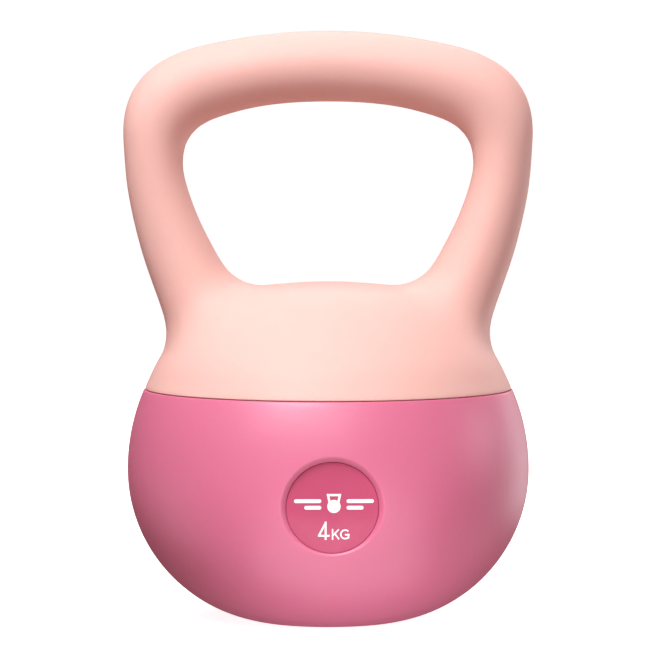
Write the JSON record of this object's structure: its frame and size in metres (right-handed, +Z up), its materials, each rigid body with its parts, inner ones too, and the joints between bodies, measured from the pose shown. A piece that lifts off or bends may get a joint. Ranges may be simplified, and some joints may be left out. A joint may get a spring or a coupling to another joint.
{
  "type": "kettlebell",
  "caption": "Soft-shell kettlebell: a moulded loop grip and shoulder on a round, flat-based soft bowl with sand filling, and a round badge on the front.",
  "frame": {"origin": "centre of the flat base, on the surface that the kettlebell stands on", "axes": "+Z up through the middle of the grip, X along the grip, -Y towards the badge"},
  "size_m": [0.1669, 0.163, 0.24],
  "materials": {
    "grip_polyurethane": "matt integral-skin polyurethane, peach",
    "core_steel": "primed steel tube",
    "plate_steel": "primed pressed steel",
    "zinc_steel": "zinc-plated steel",
    "bowl_vinyl": "satin soft vinyl, rose pink",
    "iron_sand": "loose iron sand",
    "plug_rubber": "black moulded rubber",
    "seal_rubber": "flat rubber seal",
    "adhesive_tape": "double-sided adhesive foam tape",
    "badge_vinyl": "satin soft vinyl, deeper rose",
    "badge_print": "white pad print"
  },
  "bodies": {
    "root": {"handle_moulding": "grip_polyurethane", "core_tube": "core_steel", "anchor_plate": "plate_steel", "weld_nuts": "zinc_steel", "clamp_cover": "plate_steel", "screw_washers": "zinc_steel", "cover_screws": "zinc_steel", "bowl_shell": "bowl_vinyl", "sand_fill": "iron_sand", "filler_plug": "plug_rubber", "plug_seal": "seal_rubber", "badge_tape": "adhesive_tape", "badge_disc": "badge_vinyl", "badge_emblem": "badge_print", "weight_mark": "badge_print"}
  },
  "joints": []
}
